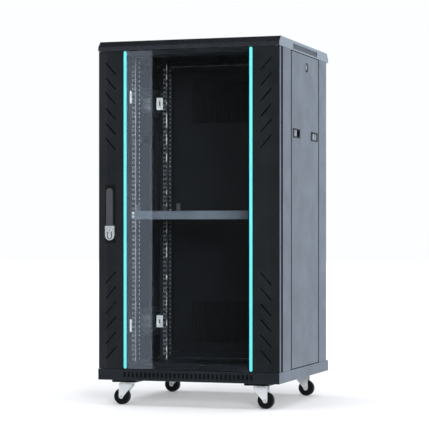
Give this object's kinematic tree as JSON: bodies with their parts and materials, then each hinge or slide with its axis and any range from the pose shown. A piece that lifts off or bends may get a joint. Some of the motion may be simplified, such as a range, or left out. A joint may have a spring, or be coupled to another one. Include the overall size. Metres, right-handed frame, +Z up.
{
  "type": "network server rack cabinet",
  "caption": "Enclosed network rack cabinet on swivel casters with a hinged glass front door, removable side doors, a rear door, 19-inch rails and a shelf.",
  "frame": {"origin": "on the floor below the middle of the cabinet body, where its four wheels stand", "axes": "+Z up, -Y towards the front door, +X towards the front door's hinge side (the right, seen from the front)"},
  "size_m": [0.6026, 0.6097, 1.158],
  "materials": {
    "graphite_paint": "satin powder coat",
    "black_paint": "satin powder coat",
    "vent_insert": "perforated, matte",
    "brace_paint": "satin powder coat",
    "rail_steel": "satin metallic grey",
    "zinc": "bright zinc plate",
    "glass": "clear, lightly tinted, toughened",
    "cyan_trim": "light cyan gloss",
    "black_plastic": "fine moulded texture",
    "grey_plastic": "satin",
    "chrome": "polished",
    "wheel_rubber": "moulded, matte"
  },
  "bodies": {
    "cabinet": {"base_frame": "graphite_paint", "caster_plate_front_left": "black_plastic", "caster_plate_front_right": "black_plastic", "caster_plate_rear_left": "black_plastic", "caster_plate_rear_right": "black_plastic", "cover_vent_left": "vent_insert", "cover_vent_right": "vent_insert", "depth_brace_lower_left": "brace_paint", "depth_brace_lower_right": "brace_paint", "depth_brace_upper_left": "brace_paint", "depth_brace_upper_right": "brace_paint", "front_frame": "graphite_paint", "rack_rail_front_left": "rail_steel", "rack_rail_front_right": "rail_steel", "rack_rail_rear_left": "rail_steel", "rack_rail_rear_right": "rail_steel", "rail_bracket_front_lower_left": "zinc", "rail_bracket_front_lower_right": "zinc", "rail_bracket_front_upper_left": "zinc", "rail_bracket_front_upper_right": "zinc", "rail_bracket_rear_lower_left": "zinc", "rail_bracket_rear_lower_right": "zinc", "rail_bracket_rear_upper_left": "zinc", "rail_bracket_rear_upper_right": "zinc", "rear_frame": "graphite_paint", "shelf": "graphite_paint", "top_cover": "graphite_paint"},
    "front_door": {"front_door_frame": "black_paint", "front_glass": "glass", "trim_strip_left": "cyan_trim", "trim_strip_right": "cyan_trim", "handle_housing": "black_plastic", "lock_body": "chrome", "hinge_pin_upper": "zinc", "hinge_pin_lower": "zinc"},
    "handle_spindle": {"handle_spindle": "zinc"},
    "handle_lever": {"handle_lever": "grey_plastic"},
    "key_cylinder": {"key_cylinder": "chrome"},
    "rear_door": {"rear_door": "black_paint"},
    "rear_lock": {"rear_lock": "chrome"},
    "side_door_left": {"side_door_left": "graphite_paint", "latch_bezel_front_left": "black_plastic", "latch_bezel_rear_left": "black_plastic"},
    "side_lock_left": {"side_lock_left": "black_plastic"},
    "latch_front_left": {"latch_slider_front_left": "grey_plastic"},
    "latch_rear_left": {"latch_slider_rear_left": "grey_plastic"},
    "side_door_right": {"side_door_right": "graphite_paint", "latch_bezel_front_right": "black_plastic", "latch_bezel_rear_right": "black_plastic"},
    "side_lock_right": {"side_lock_right": "black_plastic"},
    "latch_front_right": {"latch_slider_front_right": "grey_plastic"},
    "latch_rear_right": {"latch_slider_rear_right": "grey_plastic"},
    "caster_swivel_front_left": {"caster_fork_front_left": "zinc"},
    "caster_wheel_front_left": {"caster_wheel_front_left": "wheel_rubber"},
    "caster_swivel_front_right": {"caster_fork_front_right": "zinc"},
    "caster_wheel_front_right": {"caster_wheel_front_right": "wheel_rubber"},
    "caster_swivel_rear_left": {"caster_fork_rear_left": "zinc"},
    "caster_wheel_rear_left": {"caster_wheel_rear_left": "wheel_rubber"},
    "caster_swivel_rear_right": {"caster_fork_rear_right": "zinc"},
    "caster_wheel_rear_right": {"caster_wheel_rear_right": "wheel_rubber"}
  },
  "joints": [
    {"name": "front_door_hinge", "type": "hinge", "parent": "cabinet", "child": "front_door", "pos_m": [0.2875, -0.2875, 0.622], "axis": [0, 0, 1], "range_deg": [0, 180]},
    {"name": "handle_turn", "type": "hinge", "parent": "front_door", "child": "handle_spindle", "pos_m": [-0.2585, -0.301, 0.675], "axis": [0, -1, 0], "range_deg": [0, 90]},
    {"name": "handle_lift", "type": "hinge", "parent": "handle_spindle", "child": "handle_lever", "pos_m": [-0.2585, -0.3015, 0.691], "axis": [-1, 0, 0], "range_deg": [0, 35]},
    {"name": "key_turn", "type": "hinge", "parent": "front_door", "child": "key_cylinder", "pos_m": [-0.2585, -0.301, 0.558], "axis": [0, -1, 0], "range_deg": [0, 90]},
    {"name": "rear_door_hinge", "type": "hinge", "parent": "cabinet", "child": "rear_door", "pos_m": [0.2825, 0.2925, 0.622], "axis": [0, 0, -1], "range_deg": [0, 130]},
    {"name": "rear_lock_turn", "type": "hinge", "parent": "rear_door", "child": "rear_lock", "pos_m": [-0.235, 0.3, 0.62], "axis": [0, -1, 0], "range_deg": [0, 90]},
    {"name": "side_door_left_pull", "type": "slide", "parent": "cabinet", "child": "side_door_left", "axis": [-1, 0, 0], "range_m": [0, 0.12]},
    {"name": "side_lock_left_turn", "type": "hinge", "parent": "side_door_left", "child": "side_lock_left", "pos_m": [-0.3, 0.01, 1.086], "axis": [1, 0, 0], "range_deg": [0, 90]},
    {"name": "latch_front_left_slide", "type": "slide", "parent": "side_door_left", "child": "latch_front_left", "axis": [0, 1, 0], "range_m": [0, 0.008], "stiffness_N_per_m": 200},
    {"name": "latch_rear_left_slide", "type": "slide", "parent": "side_door_left", "child": "latch_rear_left", "axis": [0, -1, 0], "range_m": [0, 0.008], "stiffness_N_per_m": 200},
    {"name": "side_door_right_pull", "type": "slide", "parent": "cabinet", "child": "side_door_right", "axis": [1, 0, 0], "range_m": [0, 0.12]},
    {"name": "side_lock_right_turn", "type": "hinge", "parent": "side_door_right", "child": "side_lock_right", "pos_m": [0.3, 0.01, 1.086], "axis": [1, 0, 0], "range_deg": [0, 90]},
    {"name": "latch_front_right_slide", "type": "slide", "parent": "side_door_right", "child": "latch_front_right", "axis": [0, 1, 0], "range_m": [0, 0.008], "stiffness_N_per_m": 200},
    {"name": "latch_rear_right_slide", "type": "slide", "parent": "side_door_right", "child": "latch_rear_right", "axis": [0, -1, 0], "range_m": [0, 0.008], "stiffness_N_per_m": 200},
    {"name": "caster_front_left_swivel", "type": "hinge", "parent": "cabinet", "child": "caster_swivel_front_left", "pos_m": [-0.22, -0.24, 0.07], "axis": [0, 0, 1], "continuous": true},
    {"name": "caster_front_left_roll", "type": "hinge", "parent": "caster_swivel_front_left", "child": "caster_wheel_front_left", "pos_m": [-0.24, -0.24, 0.026], "axis": [0, 1, 0], "continuous": true},
    {"name": "caster_front_right_swivel", "type": "hinge", "parent": "cabinet", "child": "caster_swivel_front_right", "pos_m": [0.22, -0.24, 0.07], "axis": [0, 0, 1], "continuous": true},
    {"name": "caster_front_right_roll", "type": "hinge", "parent": "caster_swivel_front_right", "child": "caster_wheel_front_right", "pos_m": [0.24, -0.24, 0.026], "axis": [0, 1, 0], "continuous": true},
    {"name": "caster_rear_left_swivel", "type": "hinge", "parent": "cabinet", "child": "caster_swivel_rear_left", "pos_m": [-0.22, 0.24, 0.07], "axis": [0, 0, 1], "continuous": true},
    {"name": "caster_rear_left_roll", "type": "hinge", "parent": "caster_swivel_rear_left", "child": "caster_wheel_rear_left", "pos_m": [-0.24, 0.24, 0.026], "axis": [0, 1, 0], "continuous": true},
    {"name": "caster_rear_right_swivel", "type": "hinge", "parent": "cabinet", "child": "caster_swivel_rear_right", "pos_m": [0.22, 0.24, 0.07], "axis": [0, 0, 1], "continuous": true},
    {"name": "caster_rear_right_roll", "type": "hinge", "parent": "caster_swivel_rear_right", "child": "caster_wheel_rear_right", "pos_m": [0.24, 0.24, 0.026], "axis": [0, 1, 0], "continuous": true}
  ]
}
